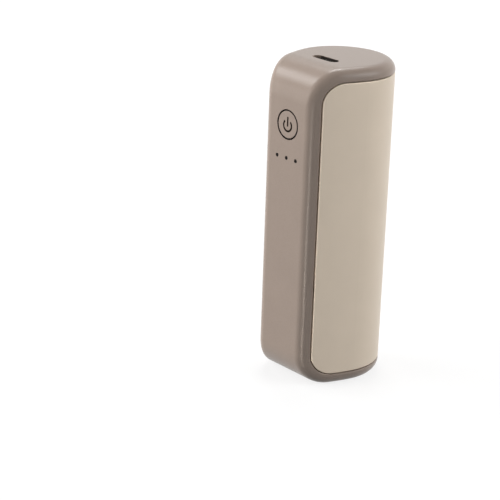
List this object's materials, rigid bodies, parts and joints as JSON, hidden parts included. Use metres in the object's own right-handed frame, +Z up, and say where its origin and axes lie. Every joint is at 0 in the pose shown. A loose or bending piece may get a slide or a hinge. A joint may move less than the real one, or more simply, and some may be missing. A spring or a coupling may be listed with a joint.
{
  "type": "rechargeable hand warmer",
  "caption": "Pocket hand warmer: taupe plastic spine with flat control face and press button, a heated metal wrap round its nose, and a charging socket on top.",
  "frame": {"origin": "middle of the bounding box at its bottom", "axes": "+Z up along the length, +X across the flat control face, -Y out of the flat control face, +Y towards the round nose"},
  "size_m": [0.0276, 0.031, 0.084],
  "materials": {
    "taupe_plastic": "satin",
    "beige_metal": "satin, anodised",
    "dark_print": "matt",
    "tape": "matt",
    "heater_film": "gloss",
    "foam": "matt",
    "cradle_plastic": "matt",
    "steel": "brushed",
    "nickel": "satin",
    "foil_winding": "satin",
    "cell_sleeve": "gloss",
    "paper": "matt",
    "board": "satin",
    "black_plastic": "matt",
    "ferrite": "matt",
    "gold": "polished",
    "ceramic": "satin",
    "smoked_guide": "gloss",
    "lamp": "gloss",
    "red_wire": "satin",
    "black_wire": "satin",
    "sensor": "gloss"
  },
  "bodies": {
    "warmer": {"back_housing": "taupe_plastic", "heat_panel": "beige_metal", "panel_adhesive": "tape", "heater_film": "heater_film", "foam_pad": "foam", "cell_cradle": "cradle_plastic", "cell_retainer": "cradle_plastic", "battery_cell": "steel", "cell_winding": "foil_winding", "cell_cap": "steel", "cell_washer": "paper", "cell_sleeve": "cell_sleeve", "end_cushion": "foam", "nickel_strip_negative": "nickel", "nickel_strip_positive": "nickel", "control_board": "board", "board_screws": "steel", "usb_shell": "steel", "usb_tongue": "black_plastic", "usb_contacts": "gold", "switch_base": "black_plastic", "switch_cover": "steel", "switch_dome": "steel", "light_guide": "smoked_guide", "indicator_leds": "lamp", "control_chip": "black_plastic", "power_inductor": "ferrite", "chip_capacitors": "ceramic", "battery_wire": "black_wire", "heater_wire_red": "red_wire", "heater_wire_black": "black_wire", "thermistor": "sensor", "thermistor_leads": "black_wire"},
    "button": {"power_button": "taupe_plastic", "power_symbol": "dark_print", "switch_plunger": "black_plastic"}
  },
  "joints": [
    {"name": "button_press", "type": "slide", "parent": "warmer", "child": "button", "axis": [0, 1, 0], "range_m": [0, 0.00025], "stiffness_N_per_m": 2000, "springref_m": -0.0003, "deforming": ["switch_dome"]}
  ]
}
